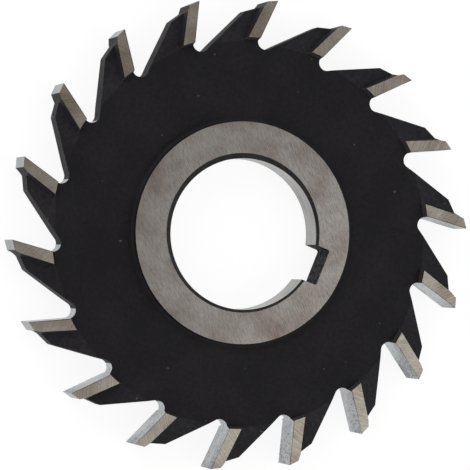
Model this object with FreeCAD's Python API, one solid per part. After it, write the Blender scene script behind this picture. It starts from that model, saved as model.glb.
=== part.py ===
"""Side and face milling cutter: a keyed disc with straight teeth that cut on the rim and on both sides.

The cutter lies flat. The Z axis is the axis of the bore, Z = 0 is the plane that it rests on, and the keyway
points along +X. All lengths are in millimetres and all angles in degrees.
"""
import FreeCAD, Part
import math
import os
from FreeCAD import Vector

# Overall size
cutter_diameter = 100.0
cutter_width = 8.0
tooth_count = 18
tooth_phase = 4.0            # turn of the first tooth's tip from the keyway's centre line

# Hub, bore and keyway
bore_diameter = 32.0
hub_diameter = 47.0
hub_foot_radius = 1.0        # hollow corner where the hub's wall meets the web
chamfer_width = 0.85
chamfer_depth = 0.65
key_width = 8.0
key_height = 34.8            # keyway floor to the far side of the bore
key_corner_radius = 0.5
turned_offset = 0.35         # the hub and the chamfers were turned off the axis that the bore was ground on
turned_direction = 158.0     # the way they lie off it

# Outline of one tooth, from its tip round its back: lengths, and angles from the rim's tangent
rake_angle = 17.5            # lean of the cutting face from the radius
flank_width = 2.2            # ground relief behind the rim's cutting edge
flank_angle = 13.0
heel_width = 1.28            # bevel at the end of the side land
heel_angle = 59.4
shoulder_width = 3.9         # second, black relief
shoulder_angle = 23.9
back_angle = 52.5            # long back of the tooth, down into the gullet
gullet_radius = 1.7

# Side of the cutter, the same on both faces
web_recess = 1.6             # depth of the web below the hub's face
facet_distance = 40.65       # from the axis to the line where the web ends and the tooth's flat begins
facet_turn = 16.0            # turn of that line from the square of the tooth's own radius
facet_angle = 3.5            # the flat falls away outwards
recess_radius = 41.4         # outer wall of the turned recess, where the side lands end
land_width = 2.36            # side land behind its cutting edge, at its inner end
land_relief_angle = 2.0      # the land falls away behind its cutting edge
wall_draft = 15.0            # lean of the walls that the land stands on

# How far a cut runs past what it cuts, and how far in front of a cutting edge its relief starts
overrun = 2.0
edge_lead = 0.15

tip_radius = cutter_diameter / 2
bore_radius = bore_diameter / 2
hub_radius = hub_diameter / 2
tooth_pitch = 360.0 / tooth_count
middle_plane = cutter_width / 2
turned_axis = Vector(
    turned_offset * math.cos(math.radians(turned_direction)),
    turned_offset * math.sin(math.radians(turned_direction)),
    0,
)


def heading(angle):
    """Unit vector in the plane of the cutter, at an angle from +X."""
    return Vector(math.cos(math.radians(angle)), math.sin(math.radians(angle)), 0)


def turned(point, angle):
    """A point turned about the cutter's axis."""
    along, across = heading(angle), heading(angle + 90)
    return along * point.x + across * point.y + Vector(0, 0, point.z)


def crossing(point_1, normal_1, point_2, normal_2):
    """Where two lines in the plane meet, each given by a point on it and its normal."""
    reach_1, reach_2 = point_1.dot(normal_1), point_2.dot(normal_2)
    spread = normal_1.x * normal_2.y - normal_1.y * normal_2.x
    return Vector(
        (reach_1 * normal_2.y - reach_2 * normal_1.y) / spread,
        (reach_2 * normal_1.x - reach_1 * normal_2.x) / spread,
        0,
    )


# Corners of the tooth whose tip is on +X. The tooth turns tip first, so its back lies towards +Y.
tip = Vector(tip_radius, 0, 0)
heel = tip + heading(90 + flank_angle) * flank_width
land_corner = heel + heading(90 + heel_angle) * heel_width
shoulder = land_corner + heading(90 + shoulder_angle) * shoulder_width
rake_heading = heading(180 - rake_angle)
rake_normal = heading(90 - rake_angle)
back_normal = heading(back_angle)

# The gullet in front of that tooth is one arc that touches its cutting face and the back of the tooth before it
back_before = turned(shoulder, -tooth_pitch)
back_before_normal = turned(back_normal, -tooth_pitch)
gullet_centre = crossing(
    tip - rake_normal * gullet_radius,
    rake_normal,
    back_before + back_before_normal * gullet_radius,
    back_before_normal,
)
rake_foot = gullet_centre + rake_normal * gullet_radius
back_foot = gullet_centre - back_before_normal * gullet_radius
gullet_floor = gullet_centre - (rake_normal * -1 + back_before_normal).normalize() * gullet_radius

# The side land's back edge runs from its outer corner to this point, one land's width behind the cutting edge
land_inner_point = rake_foot + rake_normal * land_width


def outline():
    """Closed outline of the whole toothed disc."""
    edges = []
    for number in range(tooth_count):
        angle = tooth_phase + number * tooth_pitch
        before, foot, floor = (turned(p, angle) for p in (back_foot, rake_foot, gullet_floor))
        corners = [foot] + [turned(p, angle) for p in (tip, heel, land_corner, shoulder)]
        corners.append(turned(back_foot, angle + tooth_pitch))
        edges.append(Part.Arc(before, floor, foot).toShape())
        for start, end in zip(corners, corners[1:]):
            edges.append(Part.LineSegment(start, end).toShape())
    return Part.Wire(edges)


def prism(corners, height):
    """Straight solid over flat corners, with its height as a vector."""
    return Part.Face(Part.makePolygon(corners + corners[:1])).extrude(height)


def land_block():
    """The bar that carries the first tooth's side land, with a leaning wall behind it.

    Its other sides run past the cutting face, the rim and the recess, which end it.
    """
    along = (land_corner - land_inner_point).normalize()
    away = Vector(-along.y, along.x, 0)
    depth = 2 * web_recess
    lean = math.tan(math.radians(wall_draft))
    start = land_inner_point - along * (land_width + overrun)
    length = (land_corner - start).Length + 2 * overrun
    front = away * -(land_width + overrun)
    top = Vector(0, 0, cutter_width + overrun)
    bottom = Vector(0, 0, cutter_width - depth)
    section = [front + bottom, front + top, away * -(overrun * lean) + top, away * (depth * lean) + bottom]
    return prism([start + p for p in section], along * length)


def tooth_flat():
    """What is milled off the side of the first tooth below the web's level, outwards of the web."""
    normal = heading(facet_turn)
    along = heading(facet_turn + 90)
    reach = tip_radius + overrun
    web_level = Vector(0, 0, cutter_width - web_recess)
    fall = Vector(0, 0, (reach - facet_distance) * math.tan(math.radians(facet_angle)))
    front = tip.dot(along) - overrun
    rear = turned(gullet_centre, tooth_pitch).dot(along)
    section = [
        normal * facet_distance + web_level,
        normal * reach + web_level,
        normal * reach + web_level - fall,
    ]
    return prism([p + along * front for p in section], along * (rear - front))


def land_relief():
    """The thin wedge ground off the top of the first tooth's side land."""
    width = 2 * land_width
    fall = width * math.tan(math.radians(land_relief_angle))
    start = rake_foot + rake_heading * overrun - rake_normal * edge_lead + Vector(0, 0, cutter_width)
    rear = start + rake_normal * width
    length = (tip - rake_foot).Length + 2 * overrun
    return prism([start, rear, rear - Vector(0, 0, fall)], rake_heading * -length)


def turned_recess():
    """The recess turned between the hub and the teeth, about the turned axis."""
    floor = cutter_width - web_recess
    top = cutter_width + overrun
    lean = math.tan(math.radians(wall_draft))
    corner = Vector(hub_radius + hub_foot_radius, 0, floor + hub_foot_radius)
    wall_foot = corner - heading(0) * hub_foot_radius
    foot_middle = corner - (heading(0) + Vector(0, 0, 1)) * (hub_foot_radius * math.sqrt(0.5))
    floor_start = corner - Vector(0, 0, hub_foot_radius)
    path = [
        floor_start,
        Vector(recess_radius - web_recess * lean, 0, floor),
        Vector(recess_radius + overrun * lean, 0, top),
        Vector(hub_radius, 0, top),
        wall_foot,
    ]
    edges = [Part.LineSegment(start, end).toShape() for start, end in zip(path, path[1:])]
    edges.append(Part.Arc(wall_foot, foot_middle, floor_start).toShape())
    recess = Part.Face(Part.Wire(edges)).revolve(Vector(), Vector(0, 0, 1), 360)
    recess.translate(turned_axis)
    return recess


def round_the_teeth(shape):
    """One copy of a shape made for the first tooth at each tooth."""
    copies = []
    for number in range(tooth_count):
        copy = shape.copy()
        copy.rotate(Vector(), Vector(0, 0, 1), tooth_phase + number * tooth_pitch)
        copies.append(copy)
    return copies


def side_cut():
    """Everything milled and turned off the upper side: the recess, and the teeth's flats beside the lands."""
    height = web_recess + overrun
    floor = Vector(0, 0, cutter_width - web_recess)
    inside = Part.makeCylinder(recess_radius - overrun, height, floor)
    ring = Part.makeCylinder(tip_radius + overrun, height, floor).cut(inside)
    flats = ring.fuse(round_the_teeth(tooth_flat())).cut(round_the_teeth(land_block()))
    return flats.fuse(turned_recess())


def bore_cut():
    """The bore, and the chamfer at its upper mouth, which keeps to the turned axis."""
    bore = Part.makeCylinder(bore_radius, cutter_width + 2 * overrun, Vector(0, 0, -overrun))
    slope = chamfer_width / chamfer_depth
    mouth_radius = bore_radius + chamfer_width
    chamfer = Part.makeCone(
        mouth_radius - 2 * chamfer_width,
        mouth_radius + overrun * slope,
        2 * chamfer_depth + overrun,
        turned_axis + Vector(0, 0, cutter_width - 2 * chamfer_depth),
    )
    return bore, chamfer


def key_cut():
    """The keyway, open to the bore, with rounded corners at its floor."""
    floor = key_height - bore_radius
    corners = [
        Vector(0, -key_width / 2, -overrun),
        Vector(floor, -key_width / 2, -overrun),
        Vector(floor, key_width / 2, -overrun),
        Vector(0, key_width / 2, -overrun),
    ]
    slot = prism(corners, Vector(0, 0, cutter_width + 2 * overrun))
    floor_corners = [
        edge for edge in slot.Edges
        if all(abs(v.X - floor) < 1e-6 for v in edge.Vertexes)
        and abs(edge.Vertexes[0].Z - edge.Vertexes[1].Z) > cutter_width
    ]
    return slot.makeFillet(key_corner_radius, floor_corners)


def both_sides(shape):
    """A cut for the upper side, and its mirror image for the lower one."""
    return [shape, shape.mirror(Vector(0, 0, middle_plane), Vector(0, 0, 1))]


def milling_cutter():
    """The whole cutter as one solid."""
    disc = Part.Face(outline()).extrude(Vector(0, 0, cutter_width))
    bore, chamfer = bore_cut()
    cuts = both_sides(side_cut()) + both_sides(chamfer) + [bore, key_cut()]
    for wedge in round_the_teeth(land_relief()):
        cuts += both_sides(wedge)
    return disc.cut(cuts).removeSplitter().Solids[0]


os.makedirs("parts", exist_ok=True)
cutter = milling_cutter()
cutter.exportStep("parts/milling_cutter.step")
print("solids", len(cutter.Solids), "faces", len(cutter.Faces), "valid", cutter.isValid())
print("box", cutter.BoundBox, "volume", round(cutter.Volume, 1))
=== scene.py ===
# %% [markdown]
# # A side and face milling cutter
#
# The object is a disc of high speed steel, 100 mm across and 8 mm thick, with a keyed bore, a ground hub and
# eighteen teeth. It was turned and milled from one blank, hardened, blackened in a hot oxide bath, and only
# then ground, so it shows two finishes: black where no wheel touched it, and bare steel on the hub, in the
# bore and round the cutting edges. This lesson dresses the imported CAD model in those finishes and
# photographs it.
#
# The first cell loads the CAD model as a fixed frame and notes its box.

# %% Load the frame
import math

import bmesh
import bpy
import numpy as np
from mathutils import Matrix, Vector


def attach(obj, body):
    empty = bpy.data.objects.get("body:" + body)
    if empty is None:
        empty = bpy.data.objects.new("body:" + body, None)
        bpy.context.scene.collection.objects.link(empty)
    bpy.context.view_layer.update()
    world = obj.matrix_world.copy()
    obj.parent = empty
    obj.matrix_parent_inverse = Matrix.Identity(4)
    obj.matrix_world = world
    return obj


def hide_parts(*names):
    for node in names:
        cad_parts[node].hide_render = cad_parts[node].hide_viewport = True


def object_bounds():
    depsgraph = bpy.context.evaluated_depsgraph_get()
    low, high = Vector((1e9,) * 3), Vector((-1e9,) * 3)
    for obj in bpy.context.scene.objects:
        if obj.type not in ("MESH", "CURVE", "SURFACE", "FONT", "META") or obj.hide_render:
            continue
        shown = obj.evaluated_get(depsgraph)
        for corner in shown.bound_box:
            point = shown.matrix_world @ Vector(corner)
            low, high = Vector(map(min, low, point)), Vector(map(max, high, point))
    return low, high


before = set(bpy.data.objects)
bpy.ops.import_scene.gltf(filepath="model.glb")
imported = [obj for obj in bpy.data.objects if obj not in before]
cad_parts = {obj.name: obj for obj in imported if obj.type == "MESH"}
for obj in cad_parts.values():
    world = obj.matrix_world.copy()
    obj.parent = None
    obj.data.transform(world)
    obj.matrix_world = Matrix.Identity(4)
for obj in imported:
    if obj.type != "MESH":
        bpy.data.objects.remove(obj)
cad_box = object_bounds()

print("CAD box in mm", [[round(c * 1000, 2) for c in corner] for corner in cad_box])

# %% [markdown]
# The real cutter's sizes are in millimetres and Blender's unit here is the metre, so every length below is
# written in millimetres and multiplied by `MM`. Only the sizes that tell one surface from another are needed:
# the shape itself comes with the frame.

# %% Sizes of the real cutter
MM = 0.001
thickness = (cad_box[1].z - cad_box[0].z) / MM
tip_radius = 50.0
tooth_count = 18
tooth_pitch = 360 / tooth_count
tooth_phase = 4.0             # angle of the first tooth's tip from the keyway, in degrees
rake_angle = 17.5             # lean of the cutting face from the radius, in degrees
gullet_radius = 1.7
gullet_centre = (41.1, 1.0)   # from the axis, for a tooth whose tip points along +X
wheel_reach = 97.5            # how far round the gullet the grinding wheel went, in degrees
bore_radius = 16.0
chamfer_width = 0.85
chamfer_depth = 0.65
key_width = 8.0
hub_radius = 23.5
foot_radius = 1.0             # hollow corner at the foot of the hub
web_recess = 1.6
recess_radius = 41.4          # outer wall of the recess, at the full thickness
wall_draft = 15.0             # lean of that wall, in degrees
turned_axis = np.array([-0.325, 0.131])   # the axis that hub, chamfers and recess were turned about
print("cutter", 2 * tip_radius, "mm across and", round(thickness, 2), "mm thick, with", tooth_count, "teeth")

# %% [markdown]
# Two helpers serve every material. Blender's colour sockets take linear light, and designers' colours come as
# sRGB hex, so one function converts them. The other adds a shader node, sets its properties and fills its
# inputs, each with a plain value or with another node's output.


# %% Helpers for materials
def linear(hex_colour):
    """Linear RGBA of an sRGB hex colour: below 0.04045 a straight line, above it a power of 2.4."""
    srgb = np.array([int(hex_colour[i:i + 2], 16) for i in (1, 3, 5)]) / 255
    light = np.where(srgb <= 0.04045, srgb / 12.92, ((srgb + 0.055) / 1.055) ** 2.4)
    return (*light.tolist(), 1.0)


def add(tree, kind, inputs=None, **settings):
    """Add a node. Inputs are named or numbered, and hold a value or another node's output."""
    node = tree.nodes.new(kind)
    for name, value in settings.items():
        setattr(node, name, value)
    for name, value in (inputs or {}).items():
        if isinstance(value, bpy.types.NodeSocket):
            tree.links.new(value, node.inputs[name])
        else:
            node.inputs[name].default_value = value
    return node


def new_material(name):
    """An empty node material with its output node."""
    material = bpy.data.materials.new(name)
    material.use_nodes = True
    material.node_tree.nodes.clear()
    output = material.node_tree.nodes.new("ShaderNodeOutputMaterial")
    return material, material.node_tree, output


print("middle grey, #808080, is", round(linear("#808080")[0], 3), "in linear light")

# %% [markdown]
# ## Black oxide
#
# Hot blackening grows a layer of magnetite about a micrometre thick on the hardened steel, and the parts are
# then dipped in oil. The eye sees a deep, slightly warm black with a low satin gloss that comes from the oil
# film, so the material is a dark dielectric and not a metal. Oil has an IOR of about 1.45, but the thin film
# left on the cutter reflects less, and 1.3 with a low specular level comes closer to the photograph. Where
# the cutter is seen edge-on, the film mirrors the bright room, and the walls look greyer than the web.
#
# Four things break up the black: cloudy stains from the bath, small patches of thicker and thinner oil, a
# fine tooth left by the milling and turning, and a few specks of dust and small knocks. Their sizes are real
# ones, apart from the tooth: its marks are about 0.1 mm, too fine to show, and are drawn at 0.35 mm. A noise
# seldom leaves the range from 0.3 to 0.7, so Map Range nodes stretch the part of it that is in use.

# %% Material: black oxide
stain_size = 9.0              # mm across a cloud
grit_size = 0.35              # mm across the fine tooth
grit_depth = 0.004            # mm
film_size = 0.9               # mm across a patch of thicker or thinner oil
patch_on_colour = 2.0         # a patch's weight beside the clouds in the colour
patch_on_roughness = -0.3     # and its weight in the roughness
satin_spread = (-0.05, 0.07)  # added to the roughness where the colour is deep and where it is worn
oil_ior = 1.3
oil_level = 0.3               # specular level, where 0.5 is the default
speck_spacing = 4.0           # mm from one speck to the next
speck_size = 0.3              # mm, half the width of the largest speck
speck_share = 0.35            # at most, of the cells that could hold a speck
speck_fray = 2.5              # how far the fine tooth frays a speck's outline, in speck sizes
speck_colour = "#484643"


def black_oxide(name, deep, worn, roughness, patchy):
    """Blackened and oiled steel: cloud + patch_on_colour * patch leads from the deep colour to the worn one.

    `patchy` is how far the patches go to either side of zero.
    """
    material, tree, output = new_material(name)
    place = add(tree, "ShaderNodeTexCoord").outputs["Object"]
    stain = add(tree, "ShaderNodeTexNoise", {"Vector": place, "Scale": 1 / (stain_size * MM), "Detail": 4.0})
    grit = add(tree, "ShaderNodeTexNoise", {"Vector": place, "Scale": 1 / (grit_size * MM), "Detail": 3.0})
    film = add(tree, "ShaderNodeTexNoise", {
        "Vector": place, "Scale": 1 / (film_size * MM), "Detail": 4.0, "Roughness": 0.65})
    patch = add(tree, "ShaderNodeMapRange", {
        "Value": film.outputs["Fac"], "From Min": 0.38, "From Max": 0.62,
        "To Min": -patchy, "To Max": patchy})
    cloud = add(tree, "ShaderNodeMapRange", {
        "Value": stain.outputs["Fac"], "From Min": 0.35, "From Max": 0.75, "To Min": 0.0, "To Max": 1.0})
    cloudy = add(tree, "ShaderNodeMath", {
        0: patch.outputs["Result"], 1: patch_on_colour, 2: cloud.outputs["Result"]},
        operation="MULTIPLY_ADD", use_clamp=True)
    colour = add(tree, "ShaderNodeMix", {
        "Factor": cloudy.outputs[0], "A": linear(deep), "B": linear(worn)}, data_type="RGBA")
    cells = add(tree, "ShaderNodeTexVoronoi", {"Vector": place, "Scale": 1 / (speck_spacing * MM)},
                voronoi_dimensions="2D")
    chosen = add(tree, "ShaderNodeSeparateColor", {"Color": cells.outputs["Color"]})
    limit = add(tree, "ShaderNodeMapRange", {
        "Value": chosen.outputs["Red"], "From Min": 1 - speck_share, "From Max": 1.0,
        "To Min": 0.0, "To Max": 2 * speck_size / speck_spacing})
    ragged = add(tree, "ShaderNodeMath", {
        0: grit.outputs["Fac"], 1: speck_fray * speck_size / speck_spacing, 2: cells.outputs["Distance"]},
        operation="MULTIPLY_ADD")
    speck = add(tree, "ShaderNodeMath", {0: ragged.outputs[0], 1: limit.outputs["Result"]},
                operation="LESS_THAN")
    dusty = add(tree, "ShaderNodeMix", {
        "Factor": speck.outputs[0], "A": colour.outputs["Result"], "B": linear(speck_colour)},
        data_type="RGBA")
    satin = add(tree, "ShaderNodeMapRange", {
        "Value": stain.outputs["Fac"], "From Min": 0.3, "From Max": 0.7,
        "To Min": roughness + satin_spread[0], "To Max": roughness + satin_spread[1]})
    oiled = add(tree, "ShaderNodeMath", {
        0: patch.outputs["Result"], 1: patch_on_roughness, 2: satin.outputs["Result"]},
        operation="MULTIPLY_ADD")
    bump = add(tree, "ShaderNodeBump", {
        "Height": grit.outputs["Fac"], "Distance": grit_depth * MM, "Strength": 0.6})
    shader = add(tree, "ShaderNodeBsdfPrincipled", {
        "Base Color": dusty.outputs["Result"], "Roughness": oiled.outputs[0],
        "Normal": bump.outputs["Normal"], "IOR": oil_ior, "Specular IOR Level": oil_level})
    tree.links.new(shader.outputs["BSDF"], output.inputs["Surface"])
    return material


# %% [markdown]
# Each blackened surface was machined in its own way and took the bath and the oil a little differently, so
# each has its own colours. The web was turned, the flats and walls of the teeth were milled, and the keyway,
# which was broached, is the blotchiest. The recess's outer wall is painted paler than the web: partly its own
# reddish tone, partly painted light that offsets the shade on this wall, which faces the axis. The edges are
# palest, partly where handling has rubbed them and partly as a painted highlight.

# %% The blackened finishes
turned_oxide = black_oxide(
    "black_oxide_on_turned_steel", deep="#161417", worn="#201E20", roughness=0.6, patchy=0.13)
chamfer_oxide = black_oxide(
    "black_oxide_on_turned_chamfers", deep="#201F1F", worn="#2C2B2A", roughness=0.56, patchy=0.25)
flats_oxide = black_oxide(
    "black_oxide_on_milled_flats", deep="#1C1A1D", worn="#282629", roughness=0.56, patchy=0.2)
walls_oxide = black_oxide(
    "black_oxide_on_milled_walls", deep="#201E21", worn="#282629", roughness=0.6, patchy=0.1)
# Paler than the web: partly the wall's own reddish tone, partly painted light against the shade on this
# inward-facing wall.
recess_oxide_painted_lighter = black_oxide(
    "black_oxide_painted_lighter_on_recess_wall", deep="#2E2A2C", worn="#383436", roughness=0.6, patchy=0.1)
keyway_oxide = black_oxide(
    "black_oxide_on_broached_keyway", deep="#08080A", worn="#323234", roughness=0.72, patchy=0.5)
# Paler on the edge bevels: partly oxide rubbed thin by handling, partly a painted highlight where the edges
# catch the light.
rubbed_oxide_and_painted_highlight = black_oxide(
    "black_oxide_rubbed_and_painted_highlight_on_edges", deep="#2B2B2C", worn="#4A4947", roughness=0.5, patchy=0.04)
oxides = [turned_oxide, chamfer_oxide, flats_oxide, walls_oxide, recess_oxide_painted_lighter, keyway_oxide, rubbed_oxide_and_painted_highlight]
print("blackened finishes:", ", ".join(oxide.name for oxide in oxides))

# %% [markdown]
# ## Ground steel
#
# A grinding wheel leaves thousands of straight scratches, all running the way that the work moved. Each is a
# tiny groove that spreads the reflection across itself, which is why ground steel looks grey and silky and
# not like a mirror. So the material is a metal of the colour of steel, with a noise pattern that is stretched
# many times along the grain. The same pattern varies the colour, the roughness and the height.
#
# The grain follows each surface, so it can't come from object coordinates. Every ground face gets a UV map,
# in millimetres, with U along the grain and V across it, and the material reads that map. Real scratches are
# 0.02 to 0.1 mm apart. A picture of the whole cutter can't show that, so they are drawn at 0.2 mm and more.
#
# A second map says where a point lies on its tooth: U is the distance in from the tip and V the distance
# behind the cutting edge, again in millimetres. With it the cutting edges get their thin dark line, and the
# cutting faces get more of the residue of cut metal towards the tip, where the chips pass.

# %% Material: ground steel
GRAIN_MAP = "grain"
TOOTH_MAP = "place_on_tooth"
cloud_size = 9.0              # mm across a cloud of stain
speckle_size = 0.5            # mm across a speckle
scratch_gloss = 0.06          # of roughness, that a scratch adds or takes away
residue_size = (0.5, 1.1)     # mm along the cutting face and up it
residue_reach = 8.0           # mm from the tip over which the residue thins out
residue_lift = 0.06           # added to the residue's noise at the tip, and taken away at the reach's end
residue_in_clouds = 0.45      # the clouds' weight beside the residue's own noise
residue_starts = 0.74         # of the sum of these three, where residue begins
residue_full = 0.84           # and where it covers the steel the most
residue_colour = "#36393C"
edge_line_strength = (0.3, 0.9)   # where the line is faintest and where it is strongest
edge_line_colour = "#3A3835"


def ground_steel(name, light, dark, stain, across, along, contrast, roughness, groove, blotch,
                 tall=1.0, residue=0.0, edge_line=0.0):
    """Bare steel with a straight grain: scratches `along` mm long and `across` mm apart, `groove` mm deep.

    0.5 + contrast * (scratch - 0.5) + blotch * (speckle - 0.5) leads from the dark colour to the light one,
    and the stain's colour darkens that in clouds. A speckle is `tall` times as high as it is wide. `residue`
    is how far residue covers the steel, and `edge_line` how many mm behind the edge the dark line ends.
    """
    material, tree, output = new_material(name)
    grain = add(tree, "ShaderNodeUVMap", uv_map=GRAIN_MAP).outputs["UV"]
    on_tooth = add(tree, "ShaderNodeUVMap", uv_map=TOOTH_MAP).outputs["UV"]
    on_tooth = add(tree, "ShaderNodeSeparateXYZ", {"Vector": on_tooth})
    stretched = add(tree, "ShaderNodeMapping", {"Vector": grain, "Scale": (1 / along, 1 / across, 1.0)})
    scratch = add(tree, "ShaderNodeTexNoise", {
        "Vector": stretched.outputs["Vector"], "Scale": 1.0, "Detail": 5.0, "Roughness": 0.62})
    cloud = add(tree, "ShaderNodeTexNoise", {"Vector": grain, "Scale": 1 / cloud_size, "Detail": 3.0})
    dotted = add(tree, "ShaderNodeMapping", {
        "Vector": grain, "Scale": (1 / speckle_size, 1 / (speckle_size * tall), 1.0)})
    speckle = add(tree, "ShaderNodeTexNoise", {
        "Vector": dotted.outputs["Vector"], "Scale": 1.0, "Detail": 3.0, "Roughness": 0.7})
    lines = add(tree, "ShaderNodeMath", {0: scratch.outputs["Fac"], 1: contrast}, operation="MULTIPLY")
    mottled = add(tree, "ShaderNodeMath", {
        0: speckle.outputs["Fac"], 1: blotch, 2: lines.outputs[0]}, operation="MULTIPLY_ADD")
    share = add(tree, "ShaderNodeMath", {0: mottled.outputs[0], 1: (contrast + blotch) / 2 - 0.5},
                operation="SUBTRACT", use_clamp=True)
    bare = add(tree, "ShaderNodeMix", {
        "Factor": share.outputs[0], "A": linear(dark), "B": linear(light)}, data_type="RGBA")
    if residue:
        smear = add(tree, "ShaderNodeMapping", {
            "Vector": grain, "Scale": (1 / residue_size[0], 1 / residue_size[1], 1.0)})
        drop = add(tree, "ShaderNodeTexNoise", {
            "Vector": smear.outputs["Vector"], "Scale": 1.0, "Detail": 4.0, "Roughness": 0.6})
        near_tip = add(tree, "ShaderNodeMapRange", {
            "Value": on_tooth.outputs["X"], "From Min": 0.0, "From Max": residue_reach,
            "To Min": residue_lift, "To Max": -residue_lift})
        patches = add(tree, "ShaderNodeMath", {
            0: cloud.outputs["Fac"], 1: residue_in_clouds, 2: drop.outputs["Fac"]},
            operation="MULTIPLY_ADD")
        where = add(tree, "ShaderNodeMath", {0: patches.outputs[0], 1: near_tip.outputs["Result"]})
        stuck = add(tree, "ShaderNodeMapRange", {
            "Value": where.outputs[0], "From Min": residue_starts, "From Max": residue_full,
            "To Min": 0.0, "To Max": residue})
        bare = add(tree, "ShaderNodeMix", {
            "Factor": stuck.outputs["Result"], "A": bare.outputs["Result"], "B": linear(residue_colour)},
            data_type="RGBA")
    if edge_line:
        line = add(tree, "ShaderNodeMapRange", {
            "Value": on_tooth.outputs["Y"], "From Min": edge_line / 2, "From Max": edge_line,
            "To Min": 1.0, "To Max": 0.0})
        strength = add(tree, "ShaderNodeMapRange", {
            "Value": cloud.outputs["Fac"], "From Min": 0.35, "From Max": 0.65,
            "To Min": edge_line_strength[0], "To Max": edge_line_strength[1]})
        broken = add(tree, "ShaderNodeMath", {0: line.outputs["Result"], 1: strength.outputs["Result"]},
                     operation="MULTIPLY")
        bare = add(tree, "ShaderNodeMix", {
            "Factor": broken.outputs[0], "A": bare.outputs["Result"], "B": linear(edge_line_colour)},
            data_type="RGBA")
    film = add(tree, "ShaderNodeMapRange", {
        "Value": cloud.outputs["Fac"], "From Min": 0.42, "From Max": 0.66, "To Min": 0.0, "To Max": 1.0})
    colour = add(tree, "ShaderNodeMix", {
        "Factor": film.outputs["Result"], "A": bare.outputs["Result"], "B": linear(stain)},
        data_type="RGBA", blend_type="MULTIPLY")
    sheen = add(tree, "ShaderNodeMapRange", {
        "Value": scratch.outputs["Fac"], "From Min": 0.3, "From Max": 0.7,
        "To Min": roughness + scratch_gloss, "To Max": roughness - scratch_gloss})
    bump = add(tree, "ShaderNodeBump", {
        "Height": scratch.outputs["Fac"], "Distance": groove * MM, "Strength": 1.0})
    shader = add(tree, "ShaderNodeBsdfPrincipled", {
        "Base Color": colour.outputs["Result"], "Roughness": sheen.outputs["Result"],
        "Normal": bump.outputs["Normal"], "Metallic": 1.0})
    tree.links.new(shader.outputs["BSDF"], output.inputs["Surface"])
    return material


# %% [markdown]
# Five kinds of surface are bare steel. The hub's scratches are short, and those of the lands are long and
# fine. The cutting faces were ground by a coarser wheel, and the bore's scratches run round it. Only the
# lands have the dark line behind their edges, and only the cutting faces have residue.

# %% The ground finishes
hub_steel = ground_steel(
    "surface_ground_steel_hub", light="#BFBBB7", dark="#898581", stain="#DDD1CD",
    across=0.2, along=1.8, contrast=2.4, roughness=0.36, groove=0.003, blotch=0.9)
land_steel = ground_steel(
    "tool_ground_steel_lands", light="#C1BBB1", dark="#8F8980", stain="#DED6D0",
    across=0.24, along=6.0, contrast=2.4, roughness=0.38, groove=0.0015, blotch=1.2, edge_line=0.18)
rim_steel = ground_steel(
    "tool_ground_steel_rim", light="#A9ACAE", dark="#8B8E90", stain="#E6E6E6",
    across=0.4, along=5.0, contrast=2.8, roughness=0.36, groove=0.003, blotch=1.0)
rake_steel = ground_steel(
    "wheel_ground_steel_rakes", light="#CBCFD1", dark="#8A8E90", stain="#E4E4E4",
    across=0.4, along=5.0, contrast=1.6, roughness=0.34, groove=0.006, blotch=2.8, tall=2.2, residue=0.8)
bore_steel = ground_steel(
    "internally_ground_steel_bore", light="#A9A9A7", dark="#818180", stain="#E2E2E0",
    across=0.4, along=9.0, contrast=3.0, roughness=0.32, groove=0.003, blotch=1.0)
steels = [hub_steel, land_steel, rim_steel, rake_steel, bore_steel]
print("ground finishes:", ", ".join(steel.name for steel in steels))

# %% [markdown]
# ## The cutter's own surface
#
# The cutter is one piece of steel, so it stays one object. The CAD node's shape is right, and its mesh is a
# set of loose triangles that must not be changed. A copy of it is merged instead: the doubled corners become
# one, and triangles that lie in one plane become one face. On that closed surface the finishes can be laid
# out and the edges can be broken, as a real cutter's are.

# %% Merge a copy of the CAD mesh
merge_distance = 0.002 * MM
flat_angle = math.radians(0.3)

shell = bmesh.new()
shell.from_mesh(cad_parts["milling_cutter"].data)
bmesh.ops.remove_doubles(shell, verts=shell.verts, dist=merge_distance)
bmesh.ops.dissolve_limit(shell, angle_limit=flat_angle, verts=shell.verts, edges=shell.edges)
print("merged surface:", len(shell.verts), "corners,", len(shell.faces), "faces,",
      sum(len(e.link_faces) != 2 for e in shell.edges), "open edges")

# %% [markdown]
# The triangles follow the round surfaces only to 0.03 mm. That is plenty for the size of the bore, but it
# gives a gullet seven flats, and their corners would show as steps in the shine. So the round surfaces are
# made finer in two moves. First they are cut by planes: through the axis every 3 degrees, across the hollow
# foot of the hub every 15 degrees of its curve, and through each gullet's own axis. Then every corner on them
# is pushed out to the true radius.
#
# A surface is told from where a face lies and how it leans. All faces are judged at once, from arrays of
# their middles and normals. Below, depth is the distance to the nearer end of the cutter, since both sides
# are alike, and a normal's rise is how much of it points up or down.


# %% Helpers that measure faces
def read(collection, name, width, kind=float):
    """One property of every element as an array with a row for each."""
    values = np.empty(len(collection) * width, np.int32 if kind is int else np.float32)
    collection.foreach_get(name, values)
    return values.reshape(-1, width) if width > 1 else values


def tooth_turn(places):
    """The turn, in degrees, of the tooth that each place belongs to: its polar angle, rounded to a pitch."""
    polar = np.degrees(np.arctan2(places[:, 1], places[:, 0]))
    return tooth_phase + np.round((polar - tooth_phase) / tooth_pitch) * tooth_pitch


def turned_back(places, degrees):
    """Places in a frame turned by an angle, each place by its own: x cos + y sin, y cos - x sin."""
    c, s = np.cos(np.radians(degrees)), np.sin(np.radians(degrees))
    return np.stack([places[:, 0] * c + places[:, 1] * s, places[:, 1] * c - places[:, 0] * s], axis=1)


def depth_of(places):
    """Distance of each place from the nearer end face."""
    return np.minimum(places[:, 2], thickness - places[:, 2])


print("the tooth beside the keyway has its tip at", tooth_turn(np.array([[tip_radius, 0.0]]))[0], "degrees")

# %% [markdown]
# Five surfaces were turned or ground round an axis, and each has its radius as a formula of the depth. The
# hollow foot is a quarter circle, whose middle lies one foot radius outside the hub and above the web. The
# gullets are round too, but each has an axis of its own.

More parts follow.
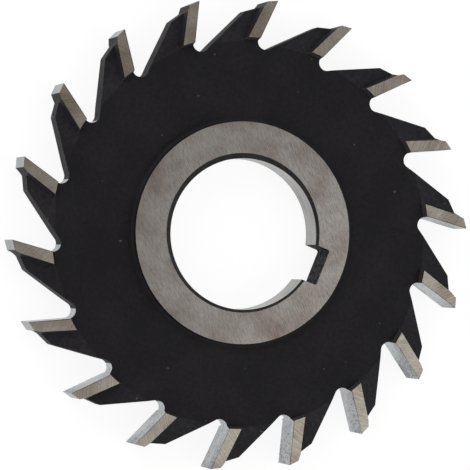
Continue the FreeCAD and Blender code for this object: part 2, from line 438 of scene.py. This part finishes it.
# %% Tell the round surfaces apart
axis_of_bore = np.zeros(2)
turned_surfaces = {
    "bore": (axis_of_bore, lambda depth: np.full_like(depth, bore_radius)),
    "chamfer": (turned_axis, lambda depth: bore_radius + chamfer_width * (1 - depth / chamfer_depth)),
    "hub wall": (turned_axis, lambda depth: np.full_like(depth, hub_radius)),
    "hub foot": (turned_axis, lambda depth: hub_radius + foot_radius - np.sqrt(
        np.clip(foot_radius ** 2 - (depth - web_recess + foot_radius) ** 2, 0, None))),
    "recess wall": (turned_axis, lambda depth: recess_radius - depth * math.tan(math.radians(wall_draft))),
}
first_contact = 90 - rake_angle   # where the cutting face meets the gullet, in degrees round the gullet
upright_rise = 0.01           # a normal that rises less belongs to an upright face
level_rise = 0.999            # a normal that rises more belongs to a level face
drafted_rise = (0.2, 0.3)     # between these it belongs to a wall that leans: the sine of 15 degrees is 0.26
upright_inward = 0.99         # how much of an upright wall's normal points at the axis or away, at least
drafted_inward = 0.95         # the same for a wall that leans
chamfer_part = 0.3            # a chamfer's normal has more than this both upward and inward
off_radius = {"bore": 0.5, "hub wall": 0.1, "recess wall": 0.6, "gullet": 0.05}   # mm, at most


def surfaces_of_faces(middles, normals):
    """For each kind of round surface, which faces are part of it, by their radius, depth, rise and facing."""
    rise = np.abs(normals[:, 2])
    from_turned = middles[:, :2] - turned_axis
    radius = np.hypot(from_turned[:, 0], from_turned[:, 1])
    inward = -(normals[:, :2] * from_turned).sum(axis=1) / radius
    depth = depth_of(middles)
    in_gullet = turned_back(middles, tooth_turn(middles)) - np.array(gullet_centre)
    upright = rise < upright_rise
    drafted = (rise > drafted_rise[0]) & (rise < drafted_rise[1])
    return {
        "bore": upright & (inward > upright_inward) & (abs(radius - bore_radius) < off_radius["bore"]),
        "chamfer": (rise > chamfer_part) & (inward > chamfer_part) & (radius < bore_radius + chamfer_width),
        "hub wall": upright & (inward < -upright_inward)
        & (abs(radius - hub_radius) < off_radius["hub wall"]),
        "hub foot": (rise > upright_rise) & (rise < level_rise) & (abs(radius - hub_radius) < foot_radius)
        & (depth > web_recess - foot_radius),
        "recess wall": drafted & (inward > drafted_inward)
        & (abs(radius - recess_radius) < off_radius["recess wall"]),
        "gullet": upright
        & (np.hypot(in_gullet[:, 0], in_gullet[:, 1]) < gullet_radius + off_radius["gullet"]),
    }


def surfaces_of_shell():
    """The same for the working shell's faces."""
    middles = np.array([f.calc_center_median() for f in shell.faces]) / MM
    return surfaces_of_faces(middles, np.array([f.normal for f in shell.faces]))


shell.normal_update()
for kind, found in surfaces_of_shell().items():
    print(kind, "has", int(found.sum()), "faces")

# %% [markdown]
# The gullets are cut every 7.5 degrees from where the cutting face runs into them. The wheel that ground the
# cutting faces stopped 97.5 degrees round, and on the real cutter the bright steel ends there in a straight
# line across the thickness. One of the cuts lies on that line, so that two finishes can meet on it.


# %% Cut the round surfaces finer
radial_step = 3.0             # degrees from one cut to the next, as all three steps
foot_step = 15.0
gullet_step = 7.5
first_cut = 1.0               # degrees from +X to the first cut through the axis
gullet_arc = 140.0            # degrees round each gullet that are cut
gullet_margin = 1.05          # a face within this many gullet radii belongs to the gullet
cut_snap = 0.02 * MM          # a corner this near a cut is used as it is


def heading(degrees):
    """Unit vector in the plane of the cutter at an angle from +X."""
    return Vector((math.cos(math.radians(degrees)), math.sin(math.radians(degrees)), 0))


def cut(faces, point, normal):
    """Cut some of the shell's faces along a plane."""
    parts = set(faces) | {e for f in faces for e in f.edges} | {v for f in faces for v in f.verts}
    bmesh.ops.bisect_plane(shell, geom=list(parts), dist=cut_snap, plane_co=point, plane_no=normal)


def cut_kinds(kinds, point, normal):
    """Cut all faces of some kinds of round surface along a plane."""
    found = surfaces_of_shell()
    wanted = np.logical_or.reduce([found[kind] for kind in kinds])
    cut([f for f, take in zip(shell.faces, wanted) if take], point, normal)


axis_point = Vector((*turned_axis, 0)) * MM
for angle in np.arange(0, 180, radial_step):
    cut_kinds(list(turned_surfaces), axis_point, heading(angle + first_cut + 90))
for angle in np.arange(foot_step, 90, foot_step):
    level = web_recess - foot_radius + foot_radius * math.sin(math.radians(angle))
    for z in (level, thickness - level):
        cut_kinds(["hub foot"], Vector((0, 0, z * MM)), Vector((0, 0, 1)))
for number in range(tooth_count):
    turn = tooth_phase + number * tooth_pitch
    centre = (heading(turn) * gullet_centre[0] + heading(turn + 90) * gullet_centre[1]) * MM
    for angle in np.arange(gullet_step, gullet_arc, gullet_step):
        near = [f for f in shell.faces if abs(f.normal.z) < upright_rise
                and (f.calc_center_median().xy - centre.xy).length < gullet_radius * MM * gullet_margin]
        cut(near, centre, heading(turn + first_contact + angle + 90))
mesh = bpy.data.meshes.new("milling_cutter_dressed")
shell.to_mesh(mesh)
shell.free()
print("after the cuts:", len(mesh.vertices), "corners,", len(mesh.polygons), "faces")

# %% [markdown]
# Pushing is one formula for a whole surface: keep the direction from its axis, and replace the distance by
# the true radius at that depth. The corners move by hundredths of a millimetre, as far as the triangles were
# off, and by up to 0.15 mm where the foot of the hub runs out almost level, since they slide along it there.


# %% Push the corners onto the true surfaces
def corners_of(faces):
    """Which corners belong to at least one of the faces."""
    loop_face = np.repeat(np.arange(len(mesh.polygons)), read(mesh.polygons, "loop_total", 1, int))
    corners = np.zeros(len(mesh.vertices), bool)
    corners[read(mesh.loops, "vertex_index", 1, int)[faces[loop_face]]] = True
    return corners


def push_out(places, axes, radii):
    """Places moved along their direction from an axis to a radius: axis + direction * radius."""
    away = places[:, :2] - axes
    pushed = places.copy()
    pushed[:, :2] = axes + away * (radii / np.hypot(away[:, 0], away[:, 1]))[:, None]
    return pushed


places = read(mesh.vertices, "co", 3).astype(float) / MM
surfaces = surfaces_of_faces(read(mesh.polygons, "center", 3) / MM, read(mesh.polygons, "normal", 3))
for kind, (axis, radius_at) in turned_surfaces.items():
    on = corners_of(surfaces[kind])
    pushed = push_out(places[on], axis, radius_at(depth_of(places[on])))
    print(kind, "corners moved by at most", round(float(np.abs(pushed - places[on]).max()), 3), "mm")
    places[on] = pushed
on = corners_of(surfaces["gullet"])
turns = np.radians(tooth_turn(places[on]))
centres = np.stack([
    np.cos(turns) * gullet_centre[0] - np.sin(turns) * gullet_centre[1],
    np.sin(turns) * gullet_centre[0] + np.cos(turns) * gullet_centre[1]], axis=1)
pushed = push_out(places[on], centres, np.full(on.sum(), gullet_radius))
print("gullet corners moved by at most", round(float(np.abs(pushed - places[on]).max()), 3), "mm")
places[on] = pushed
mesh.vertices.foreach_set("co", (places * MM).astype(np.float32).ravel())
mesh.update()

# %% [markdown]
# Now the finishes are laid out, again for all faces at once. Hub faces are level and near the axis. Side
# lands are level, near the rim and at full thickness. The flats beside them are nearly level and deeper than
# the web, and the walls that the lands stand on lean. The rim's relief is upright and farthest out. Cutting
# faces and the ground part of the gullets are upright, and face the way that the wheel could reach. The
# keyway's walls are upright and within half its width of its middle line. The recess's wall, the chamfers and
# the bore are known from the round surfaces above, and all the rest is black from turning and milling.

# %% Lay out the finishes
finishes = oxides + steels
for finish in finishes:
    mesh.materials.append(finish)
OXIDE, CHAMFER, FLAT, WALL, RECESS_PAINTED_LIGHTER, KEYWAY, RUBBED_AND_PAINTED_HIGHLIGHT, HUB, LAND, RIM, RAKE, BORE = range(len(finishes))
teeth_from = 0.75 * tip_radius    # mm from the axis, as the next four
lands_from = 0.8 * tip_radius
rim_from = 0.988 * tip_radius
keyway_from = bore_radius * 0.95
hub_until = hub_radius + 1
near_level_rise = 0.99        # a flat falls away a little, so its normal rises more than this
flat_depth = web_recess + 0.05    # mm, and its middle is deeper than this
land_depth = 0.2              # mm, and a land's is less deep than this
slack = 0.01                  # mm
facing_slack = 1.0            # degrees


def finish_of_faces(middles, normals):
    """The finish's number for each face, from its radius, depth, rise and facing."""
    radius = np.hypot(middles[:, 0], middles[:, 1])
    depth = depth_of(middles)
    rise = np.abs(normals[:, 2])
    level = rise > level_rise
    near_level = rise > near_level_rise
    upright = rise < upright_rise
    drafted = (rise > drafted_rise[0]) & (rise < drafted_rise[1])
    facing = np.degrees(np.arctan2(normals[:, 1], normals[:, 0]))
    facing = (facing - tooth_turn(middles) - first_contact - 180) % 360
    wheel_side = (facing < wheel_reach) | (facing > 360 - facing_slack)
    in_keyway = upright & (middles[:, 0] > 0) & (np.abs(middles[:, 1]) < key_width / 2 + slack)
    surfaces = surfaces_of_faces(middles, normals)
    finish = np.full(len(middles), OXIDE, np.int32)
    finish[near_level & (radius > teeth_from) & (depth > flat_depth)] = FLAT
    finish[drafted & (radius > teeth_from)] = WALL
    finish[level & (radius < hub_until) & (depth < slack)] = HUB
    finish[level & (radius > lands_from) & (depth < land_depth)] = LAND
    finish[upright & (radius > rim_from)] = RIM
    finish[upright & (radius > teeth_from) & wheel_side] = RAKE
    finish[in_keyway & (radius > keyway_from) & (radius < hub_radius)] = KEYWAY
    # The recess's wall takes the finish that is painted lighter against its shade.
    finish[surfaces["recess wall"]] = RECESS_PAINTED_LIGHTER
    finish[surfaces["chamfer"]] = CHAMFER
    finish[surfaces["bore"]] = BORE
    return finish


finish = finish_of_faces(read(mesh.polygons, "center", 3) / MM, read(mesh.polygons, "normal", 3))
mesh.polygons.foreach_set("material_index", finish)
areas = read(mesh.polygons, "area", 1) / MM ** 2
for number, material in enumerate(finishes):
    print(material.name, "covers", round(float(areas[finish == number].sum()), 1), "mm2")

# %% [markdown]
# No edge of a real tool is a perfect corner. The cutting edges are as sharp as the wheel leaves them, about
# 0.01 mm, and stay as they are. The blackened edges were deburred before the bath and have been rubbed a
# little since. Those edges of the teeth get a narrow bevel in a paler finish, which is partly the rubbed
# oxide and partly a painted highlight of the thin line where they catch the light. Where a bevel runs out it
# leaves doubled corners, and these are merged.

# %% Break the edges
blunt_width = 0.09 * MM
corner_angle = math.radians(20)
teeth_start = 0.7 * tip_radius * MM
blackened = {OXIDE, FLAT, WALL, RECESS_PAINTED_LIGHTER}   # an edge is broken where the faces on both its sides have these

shell = bmesh.new()
shell.from_mesh(mesh)
blunt = [
    e for e in shell.edges
    if e.is_convex and e.calc_face_angle(0) > corner_angle and e.verts[0].co.xy.length > teeth_start
    and {f.material_index for f in e.link_faces} <= blackened
]
print("edges to break:", len(blunt))
# The bevels take the pale finish that is partly rubbed oxide and partly a painted highlight.
bmesh.ops.bevel(
    shell, geom=blunt, offset=blunt_width, offset_type="OFFSET", segments=2, profile=0.5, affect="EDGES",
    clamp_overlap=False, material=RUBBED_AND_PAINTED_HIGHLIGHT, loop_slide=True)
corners_before = len(shell.verts)
bmesh.ops.remove_doubles(shell, verts=shell.verts, dist=merge_distance)
bmesh.ops.dissolve_degenerate(shell, edges=shell.edges, dist=merge_distance)
print("doubled corners merged where a bevel ends:", corners_before - len(shell.verts))
shell.to_mesh(mesh)
shell.free()
print("the surface now has", len(mesh.polygons), "faces")

# %% [markdown]
# The grain map is worked out for all corners of all faces in one go. Each finish has its own formula: a plane
# turned to the grain on the hub and the lands, the distance along the profile and the height on the cutting
# faces, the distance across the tooth and the height on the rim, and the distance round and the height in the
# bore. From tooth to tooth the map moves on by 37 mm, so that no two carry the same scratches.

# %% Map the grain
hub_grain = 135.0             # direction of the hub's scratches from the keyway, in degrees
land_grain = 60.0             # direction of the lands' scratches from their cutting edges, in degrees
tooth_shift = 37.0            # mm that the map moves on from tooth to tooth


def rake_map(local, height):
    """Distance along the cutting face, or radius times angle round the gullet, and height."""
    from_centre = local - np.array(gullet_centre)
    angle = np.degrees(np.arctan2(from_centre[:, 1], from_centre[:, 0])) - first_contact
    lean = math.radians(rake_angle)
    straight = from_centre[:, 0] * math.cos(lean) - from_centre[:, 1] * math.sin(lean)
    round_part = -gullet_radius * np.radians(angle % 360)
    return np.stack([np.where(straight > 0, straight, round_part), height], axis=1)


loop_face = np.repeat(np.arange(len(mesh.polygons)), read(mesh.polygons, "loop_total", 1, int))
places = read(mesh.vertices, "co", 3)[read(mesh.loops, "vertex_index", 1, int)] / MM
loop_finish = read(mesh.polygons, "material_index", 1, int)[loop_face]
turn = tooth_turn(read(mesh.polygons, "center", 3)[loop_face] / MM)
local = turned_back(places, turn)
height = places[:, 2]
grain = turned_back(places, np.full(len(places), hub_grain))
is_land = loop_finish == LAND
grain[is_land] = turned_back(places, turn - rake_angle + land_grain)[is_land]
is_rake = loop_finish == RAKE
grain[is_rake] = rake_map(local, height)[is_rake]
is_rim = loop_finish == RIM
grain[is_rim] = np.stack([local[:, 1], height], axis=1)[is_rim]
is_bore = loop_finish == BORE
way_round = np.radians(np.degrees(np.arctan2(places[:, 1], places[:, 0])) % 360)
grain[is_bore] = np.stack([way_round * bore_radius, height], axis=1)[is_bore]
grain += tooth_shift * turn[:, None] * (is_land | is_rim | is_rake)[:, None] / tooth_pitch
print("grain map spans", grain.min(axis=0).round(1), "to", grain.max(axis=0).round(1), "mm")

# %% [markdown]
# The second map measures each corner from the tip of its own tooth, in two directions that lean with the
# cutting face: inward along it, and back from it. Both maps then go onto the mesh.

# %% Map the place on the tooth
from_tip = local - np.array([tip_radius, 0.0])
lean = math.radians(rake_angle)
inward = from_tip @ np.array([-math.cos(lean), math.sin(lean)])
behind = from_tip @ np.array([math.sin(lean), math.cos(lean)])

for name, values in ((GRAIN_MAP, grain), (TOOTH_MAP, np.stack([inward, behind], axis=1))):
    layer = mesh.uv_layers.new(name=name)
    layer.data.foreach_set("uv", values.astype(np.float32).ravel())
print("lands reach from", behind[is_land].min().round(2), "to", behind[is_land].max().round(2),
      "mm behind the edge")

# %% [markdown]
# Faces that meet at less than 20 degrees are shaded as one smooth surface, and the Weighted Normal modifier
# lets the wide faces decide how, or else the narrow bevels would bend the light on the flats beside them. The
# finished mesh then stands in for the CAD node.

# %% Put the cutter in the scene
mesh.shade_smooth()
mesh.set_sharp_from_angle(angle=corner_angle)
cutter = bpy.data.objects.new("milling_cutter_dressed", mesh)
bpy.context.scene.collection.objects.link(cutter)
even = cutter.modifiers.new("even_shading", "WEIGHTED_NORMAL")
even.keep_sharp = True
even.weight = 100
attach(cutter, "root")
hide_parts("milling_cutter")
print(cutter.name, "has", len(mesh.uv_layers), "maps and", len(mesh.materials), "finishes")

# %% [markdown]
# ## The floor
#
# The photograph is a catalogue picture: the cutter lies on pure white. The floor is a white sheet, and the
# Light Path node shows it in two ways. To the camera, in reflections and through clear things it shines by
# itself at 0.89 of plain white, and a darker paper added to that takes the cutter's shadow. To all other
# light it is white paper.

# %% Floor
floor_half = 3.0              # m
floor_cells = 2               # squares along each side
own_light = 0.89              # of plain white, what the camera sees without any lamp
shadow_paper = "#6C6C6C"
white_paper = "#F4F4F4"

per_row = floor_cells + 1
side = np.linspace(-floor_half, floor_half, per_row)
grid_x, grid_y = np.meshgrid(side, side)
corners = np.stack([grid_x.ravel(), grid_y.ravel(), np.zeros(grid_x.size)], axis=1)
first = (np.arange(floor_cells)[:, None] * per_row + np.arange(floor_cells)).ravel()
squares = np.stack([first, first + 1, first + per_row + 1, first + per_row], axis=1)
floor_mesh = bpy.data.meshes.new("floor")
floor_mesh.from_pydata(corners.tolist(), [], squares.tolist())
floor = bpy.data.objects.new("floor", floor_mesh)
bpy.context.scene.collection.objects.link(floor)

paper, tree, output = new_material("white_paper_sweep")
path = add(tree, "ShaderNodeLightPath")
seen = add(tree, "ShaderNodeMath", {0: path.outputs["Is Camera Ray"], 1: path.outputs["Is Glossy Ray"]},
           operation="MAXIMUM")
seen = add(tree, "ShaderNodeMath", {0: seen.outputs[0], 1: path.outputs["Is Transmission Ray"]},
           operation="MAXIMUM")
sheet = add(tree, "ShaderNodeBsdfDiffuse", {"Color": linear(white_paper)})
white = add(tree, "ShaderNodeEmission", {"Color": (1, 1, 1, 1), "Strength": own_light})
shaded = add(tree, "ShaderNodeBsdfDiffuse", {"Color": linear(shadow_paper)})
shown = add(tree, "ShaderNodeAddShader", {0: white.outputs[0], 1: shaded.outputs[0]})
mixed = add(tree, "ShaderNodeMixShader", {0: seen.outputs[0], 1: sheet.outputs[0], 2: shown.outputs[0]})
tree.links.new(mixed.outputs[0], output.inputs["Surface"])
floor_mesh.materials.append(paper)
print("floor", 2 * floor_half, "m square")

# %% [markdown]
# ## The room and the lamps
#
# Bare steel shows its surroundings, so the room matters more than the lamps. In the photograph the level
# faces are mid grey and the walls that face sideways are almost white: the room is white all round and darker
# overhead, where the camera hangs. The world is that room, a gradient by how far up a direction points.

# %% Room
white_until = 0.55            # of the way up, where straight up is 1
room_white = "#FDFEFF"
room_top = "#7F7C78"

world = bpy.data.worlds.new("studio_room")
bpy.context.scene.world = world
world.use_nodes = True
tree = world.node_tree
tree.nodes.clear()
direction = add(tree, "ShaderNodeTexCoord").outputs["Generated"]
upward = add(tree, "ShaderNodeSeparateXYZ", {"Vector": direction})
gradient = add(tree, "ShaderNodeValToRGB", {"Fac": upward.outputs["Z"]})
ramp = gradient.color_ramp
ramp.interpolation = "EASE"
ramp.elements[0].position = white_until
ramp.elements[0].color = linear(room_white)
ramp.elements[1].position = 1.0
ramp.elements[1].color = linear(room_top)
background = add(tree, "ShaderNodeBackground", {"Color": gradient.outputs["Color"], "Strength": 1.0})
add(tree, "ShaderNodeOutputWorld", {"Surface": background.outputs["Background"]})
print("the room is white up to", white_until, "of the way up and darkens to the top")

# %% [markdown]
# There are two soft lamps. The large one, far off to the upper left, gives the shapes a side to be lit from
# and leaves a faint soft shadow on the right. The other is nearer, smaller and weaker, on the right, and
# makes the level faces lighter to that side.


# %% Lamps
def softbox(name, place, size, power):
    """A square area lamp at a place in metres, turned to the cutter."""
    lamp = bpy.data.lights.new(name, "AREA")
    lamp.size = size
    lamp.energy = power
    holder = bpy.data.objects.new(name, lamp)
    holder.location = place
    holder.rotation_euler = (-Vector(place)).to_track_quat("-Z", "Y").to_euler()
    bpy.context.scene.collection.objects.link(holder)
    return holder


key_lamp = softbox("key_softbox", place=(-0.9, 0.5, 0.7), size=0.7, power=3.0)
near_lamp = softbox("near_softbox", place=(0.45, -0.03, 0.6), size=0.45, power=0.85)
print("lamps:", key_lamp.name, "and", near_lamp.name)

# %% [markdown]
# ## The camera
#
# The picture was taken from about 0.6 m away, 16.5 degrees off the cutter's axis. That is why the walls that
# face one way show and the others don't. The place, aim and lens were found by matching the tooth tips, the
# bore and the hub in the photograph, and the keyway fixes the turn about the line of sight.

# %% Camera
camera_place = Vector((-154.60, -68.84, 573.43)) * MM
camera_aim = Vector((-1.90, -1.04, 8.00)) * MM
picture_right = Vector((0.88562, 0.36795, 0.28332))
focal_length = 214.26         # mm
sensor_width = 36.0           # mm
nearest_seen = 0.05           # m

camera_data = bpy.data.cameras.new("camera")
camera_data.sensor_width = sensor_width
camera_data.lens = focal_length
camera_data.clip_start = nearest_seen
camera = bpy.data.objects.new("camera", camera_data)
back = (camera_place - camera_aim).normalized()
up = back.cross(picture_right).normalized()
right = up.cross(back)
camera.matrix_world = Matrix.Translation(camera_place) @ Matrix((right, up, back)).transposed().to_4x4()
bpy.context.scene.collection.objects.link(camera)
bpy.context.scene.camera = camera
bpy.context.scene.view_settings.view_transform = "Standard"
print("camera", round((camera_place - camera_aim).length, 3), "m from its aim and",
      round(math.degrees(back.angle(Vector((0, 0, 1)))), 1), "degrees off the cutter's axis")
